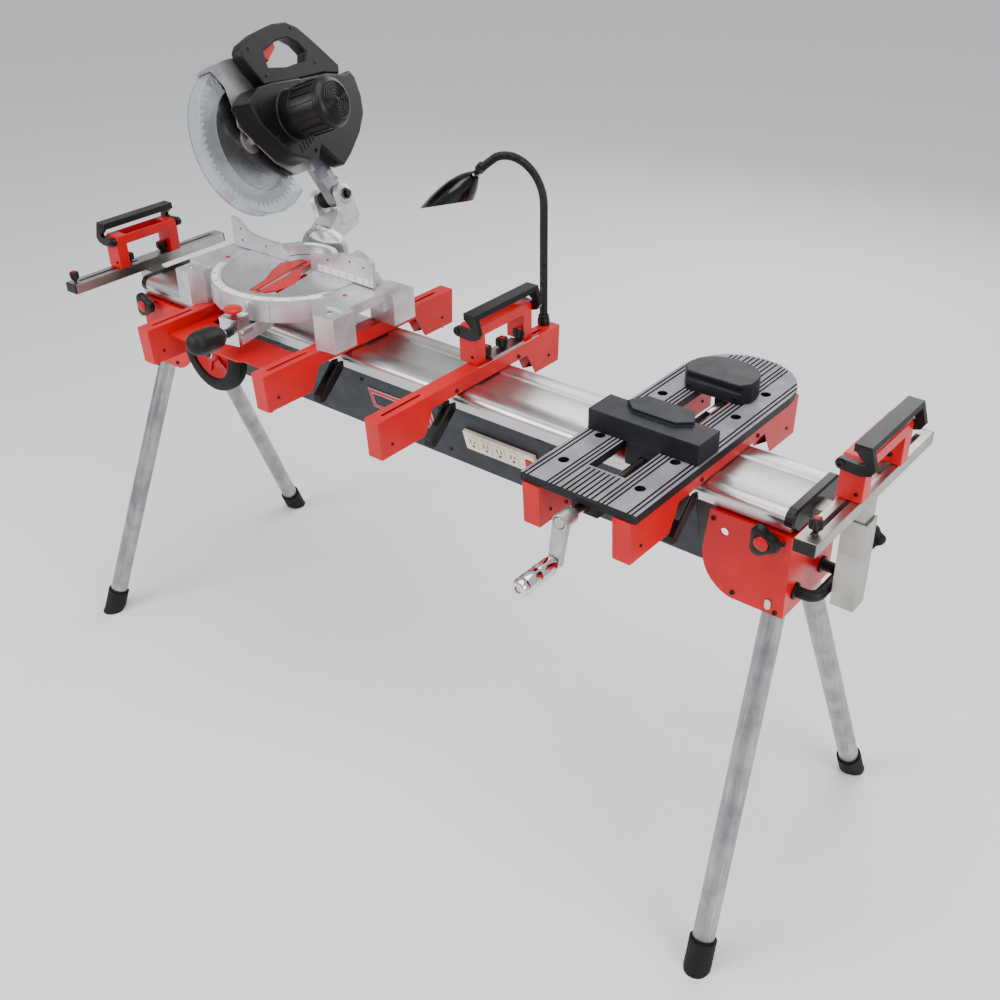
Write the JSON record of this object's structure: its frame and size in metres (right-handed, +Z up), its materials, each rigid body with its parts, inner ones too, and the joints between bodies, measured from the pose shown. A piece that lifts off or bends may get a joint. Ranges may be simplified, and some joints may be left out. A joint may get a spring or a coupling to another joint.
{
  "type": "mitre saw on stand",
  "caption": "Compound mitre saw on a folding stand: sliding mounts on an aluminium beam, splayed legs, work supports, bench vise, lamp and outlet strip.",
  "frame": {"origin": "on the floor under the middle of the whole object's bounding box", "axes": "+X along the beam towards the vise end, +Y away from the user, +Z up"},
  "size_m": [1.78, 0.7332, 1.3114],
  "materials": {
    "red_enamel": "gloss enamel on steel",
    "satin_aluminium": "satin anodised extrusion",
    "bright_steel": "zinc plated tube, brushed",
    "chrome": "polished chrome plate",
    "black_plastic": "fine grain moulded nylon",
    "dark_paint": "textured slate powder coat",
    "rubber": "moulded rubber",
    "cast_aluminium": "die cast, lightly blasted",
    "beige_plastic": "satin moulded plastic",
    "grey_top": "grey coated cast top",
    "clear_plastic": "clear polycarbonate"
  },
  "bodies": {
    "stand": {"main_beam": "satin_aluminium", "under_housing": "dark_paint", "leg_bracket_left": "red_enamel", "leg_bracket_right": "red_enamel", "carry_handle": "black_plastic", "power_strip": "beige_plastic"},
    "rocker_switch": {"rocker_switch": "red_enamel"},
    "leg_front_left": {"leg_front_left": "bright_steel", "foot_front_left": "rubber"},
    "leg_rear_left": {"leg_rear_left": "bright_steel", "foot_rear_left": "rubber"},
    "leg_front_right": {"leg_front_right": "bright_steel", "foot_front_right": "rubber"},
    "leg_rear_right": {"leg_rear_right": "bright_steel", "foot_rear_right": "rubber"},
    "wheel_front": {"wheel_front": "rubber"},
    "wheel_rear": {"wheel_rear": "rubber"},
    "lock_knob_left": {"lock_knob_left": "black_plastic"},
    "extension_left": {"extension_left": "bright_steel"},
    "rail_left": {"rail_left": "bright_steel"},
    "support_left": {"support_left": "red_enamel"},
    "stop_left": {"stop_left": "black_plastic"},
    "lock_knob_right": {"lock_knob_right": "black_plastic"},
    "extension_right": {"extension_right": "bright_steel"},
    "rail_right": {"rail_right": "bright_steel"},
    "support_right": {"support_right": "red_enamel"},
    "stop_right": {"stop_right": "black_plastic"},
    "post_knob_right": {"post_knob_right": "black_plastic"},
    "saw_mount": {"saw_channel_left": "red_enamel", "saw_channel_right": "red_enamel", "saw_mount_plate": "red_enamel", "saw_base": "cast_aluminium", "fence": "cast_aluminium"},
    "support_mount": {"support_channel": "red_enamel"},
    "vise_mount": {"vise_channel_left": "red_enamel", "vise_channel_right": "red_enamel", "vise_table": "grey_top", "vise_rear_jaw": "dark_paint"},
    "saw_release_lever": {"saw_release_lever": "black_plastic"},
    "support_release_lever": {"support_release_lever": "black_plastic"},
    "vise_release_lever": {"vise_release_lever": "black_plastic"},
    "support_middle": {"support_middle": "red_enamel"},
    "stop_middle": {"stop_middle": "black_plastic"},
    "lamp_neck": {"lamp_neck": "black_plastic"},
    "lamp_shade": {"lamp_shade": "black_plastic"},
    "vise_screw": {"vise_screw": "bright_steel"},
    "vise_jaw": {"vise_jaw": "dark_paint"},
    "crank_grip": {"crank_grip": "chrome"},
    "turntable": {"turntable": "cast_aluminium", "kerf_insert": "red_enamel"},
    "miter_handle": {"miter_handle": "black_plastic"},
    "detent_lever": {"detent_lever": "red_enamel"},
    "bevel_arm": {"arm_support": "cast_aluminium"},
    "saw_head": {"head_casting": "cast_aluminium", "motor_housing": "black_plastic", "d_handle": "black_plastic", "belt_cover": "black_plastic"},
    "trigger": {"trigger": "red_enamel"},
    "blade": {"blade": "bright_steel"},
    "lower_guard": {"lower_guard": "clear_plastic"}
  },
  "joints": [
    {"name": "rocker_tilt", "type": "hinge", "parent": "stand", "child": "rocker_switch", "pos_m": [0.2635, -0.00376, 0.67562], "axis": [1, 0, 0], "range_deg": [0, 12]},
    {"name": "leg_front_left_fold", "type": "hinge", "parent": "stand", "child": "leg_front_left", "pos_m": [-0.7665, -0.0036, 0.612], "axis": [0, -0.9263, 0.3769], "range_deg": [0, 94.5]},
    {"name": "leg_rear_left_fold", "type": "hinge", "parent": "stand", "child": "leg_rear_left", "pos_m": [-0.7665, 0.0924, 0.612], "axis": [0, -0.9263, -0.3769], "range_deg": [0, 94.5]},
    {"name": "leg_front_right_fold", "type": "hinge", "parent": "stand", "child": "leg_front_right", "pos_m": [0.7595, -0.0036, 0.612], "axis": [0, 0.9263, -0.3769], "range_deg": [0, 94.5]},
    {"name": "leg_rear_right_fold", "type": "hinge", "parent": "stand", "child": "leg_rear_right", "pos_m": [0.7595, 0.0924, 0.612], "axis": [0, 0.9263, 0.3769], "range_deg": [0, 94.5]},
    {"name": "wheel_front_spin", "type": "hinge", "parent": "stand", "child": "wheel_front", "pos_m": [-0.5155, -0.0686, 0.7], "axis": [0, 1, 0], "continuous": true},
    {"name": "wheel_rear_spin", "type": "hinge", "parent": "stand", "child": "wheel_rear", "pos_m": [-0.5155, 0.1574, 0.7], "axis": [0, 1, 0], "continuous": true},
    {"name": "lock_knob_left_turn", "type": "hinge", "parent": "stand", "child": "lock_knob_left", "pos_m": [-0.7565, -0.0361, 0.737], "axis": [0, -1, 0], "range_deg": [0, 360]},
    {"name": "extension_left_slide", "type": "slide", "parent": "stand", "child": "extension_left", "axis": [-1, 0, 0], "range_m": [0, 0.55]},
    {"name": "rail_left_height", "type": "slide", "parent": "extension_left", "child": "rail_left", "axis": [0, 0, 1], "range_m": [-0.006, 0.114]},
    {"name": "support_left_slide", "type": "slide", "parent": "rail_left", "child": "support_left", "axis": [0, 1, 0], "range_m": [-0.09, 0.09]},
    {"name": "stop_left_flip", "type": "hinge", "parent": "support_left", "child": "stop_left", "pos_m": [-0.838, 0.0324, 0.8596], "axis": [0, 1, 0], "range_deg": [0, 100]},
    {"name": "lock_knob_right_turn", "type": "hinge", "parent": "stand", "child": "lock_knob_right", "pos_m": [0.7495, -0.0361, 0.737], "axis": [0, -1, 0], "range_deg": [0, 360]},
    {"name": "extension_right_slide", "type": "slide", "parent": "stand", "child": "extension_right", "axis": [1, 0, 0], "range_m": [0, 0.55]},
    {"name": "rail_right_height", "type": "slide", "parent": "extension_right", "child": "rail_right", "axis": [0, 0, 1], "range_m": [-0.0365, 0.0835]},
    {"name": "support_right_slide", "type": "slide", "parent": "rail_right", "child": "support_right", "axis": [0, 1, 0], "range_m": [-0.09, 0.09]},
    {"name": "stop_right_flip", "type": "hinge", "parent": "support_right", "child": "stop_right", "pos_m": [0.838, 0.0664, 0.8901], "axis": [0, -1, 0], "range_deg": [0, 100]},
    {"name": "post_knob_right_turn", "type": "hinge", "parent": "extension_right", "child": "post_knob_right", "pos_m": [0.8535, 0.06415, 0.698], "axis": [0, 1, 0], "range_deg": [0, 360]},
    {"name": "saw_mount_slide", "type": "slide", "parent": "stand", "child": "saw_mount", "axis": [1, 0, 0], "range_m": [-0.04, 0.1]},
    {"name": "support_mount_slide", "type": "slide", "parent": "stand", "child": "support_mount", "axis": [1, 0, 0], "range_m": [-0.08, 0.1]},
    {"name": "vise_mount_slide", "type": "slide", "parent": "stand", "child": "vise_mount", "axis": [1, 0, 0], "range_m": [-0.08, 0.07]},
    {"name": "saw_release_lever_pull", "type": "hinge", "parent": "saw_mount", "child": "saw_release_lever", "pos_m": [-0.1685, -0.0456, 0.763], "axis": [1, 0, 0], "range_deg": [0, 35]},
    {"name": "support_release_lever_pull", "type": "hinge", "parent": "support_mount", "child": "support_release_lever", "pos_m": [0.1145, -0.0456, 0.763], "axis": [1, 0, 0], "range_deg": [0, 35]},
    {"name": "vise_release_lever_pull", "type": "hinge", "parent": "vise_mount", "child": "vise_release_lever", "pos_m": [0.6135, -0.0456, 0.763], "axis": [1, 0, 0], "range_deg": [0, 35]},
    {"name": "support_middle_slide", "type": "slide", "parent": "support_mount", "child": "support_middle", "axis": [0, 1, 0], "range_m": [-0.2, 0.015]},
    {"name": "stop_middle_flip", "type": "hinge", "parent": "support_middle", "child": "stop_middle", "pos_m": [0.086, 0.1044, 0.877], "axis": [0, -1, 0], "range_deg": [0, 100]},
    {"name": "lamp_swivel", "type": "hinge", "parent": "support_mount", "child": "lamp_neck", "pos_m": [0.1045, 0.2434, 0.815], "axis": [0, 0, 1], "range_deg": [-100, 60]},
    {"name": "lamp_shade_tilt", "type": "hinge", "parent": "lamp_neck", "child": "lamp_shade", "pos_m": [-0.0555, 0.2434, 1.078], "axis": [0, 1, 0], "range_deg": [-40, 40]},
    {"name": "vise_screw_turn", "type": "hinge", "parent": "vise_mount", "child": "vise_screw", "pos_m": [0.532, -0.2556, 0.8], "axis": [0, 1, 0], "range_deg": [-2880, 6480]},
    {"name": "vise_jaw_slide", "type": "slide", "parent": "vise_mount", "child": "vise_jaw", "axis": [0, 1, 0], "range_m": [-0.0481, 0.1081]},
    {"name": "crank_grip_spin", "type": "hinge", "parent": "vise_screw", "child": "crank_grip", "pos_m": [0.522, -0.3156, 0.724], "axis": [0, 1, 0], "continuous": true},
    {"name": "miter_swing", "type": "hinge", "parent": "saw_mount", "child": "turntable", "pos_m": [-0.3485, 0.0324, 0.89], "axis": [0, 0, 1], "range_deg": [-55, 35]},
    {"name": "miter_handle_twist", "type": "hinge", "parent": "turntable", "child": "miter_handle", "pos_m": [-0.30141, -0.18915, 0.842], "axis": [0.2053, -0.9659, 0.158], "range_deg": [0, 180]},
    {"name": "detent_lift", "type": "slide", "parent": "turntable", "child": "detent_lever", "axis": [0, 0, 1], "range_m": [0, 0.006], "stiffness_N_per_m": 300},
    {"name": "bevel_tilt", "type": "hinge", "parent": "turntable", "child": "bevel_arm", "pos_m": [-0.3485, 0.0324, 0.89], "axis": [-0.2079, 0.9781, 0], "range_deg": [-24, 21]},
    {"name": "head_chop", "type": "hinge", "parent": "bevel_arm", "child": "saw_head", "pos_m": [-0.41788, 0.20883, 0.97122], "axis": [0.9132, 0.1941, 0.3584], "range_deg": [0, 40], "stiffness_Nm_per_rad": 7.2, "springref_deg": -49.27},
    {"name": "trigger_squeeze", "type": "hinge", "parent": "saw_head", "child": "trigger", "pos_m": [-0.493, 0.15095, 1.2833], "axis": [0.9132, 0.1941, 0.3584], "range_deg": [-7, 0], "stiffness_Nm_per_rad": 0.4},
    {"name": "blade_spin", "type": "hinge", "parent": "saw_head", "child": "blade", "pos_m": [-0.44134, 0.03311, 1.1262], "axis": [0.9132, 0.1941, 0.3584], "continuous": true},
    {"name": "guard_swing", "type": "hinge", "parent": "saw_head", "child": "lower_guard", "pos_m": [-0.44134, 0.03311, 1.1262], "axis": [0.9132, 0.1941, 0.3584], "range_deg": [-120.2, 0.1]}
  ],
  "couplings": [
    {"joint": "vise_jaw_slide", "follows": "vise_screw_turn", "m_per_rad": 0.00095493},
    {"joint": "guard_swing", "follows": "head_chop", "ratio": -3}
  ]
}
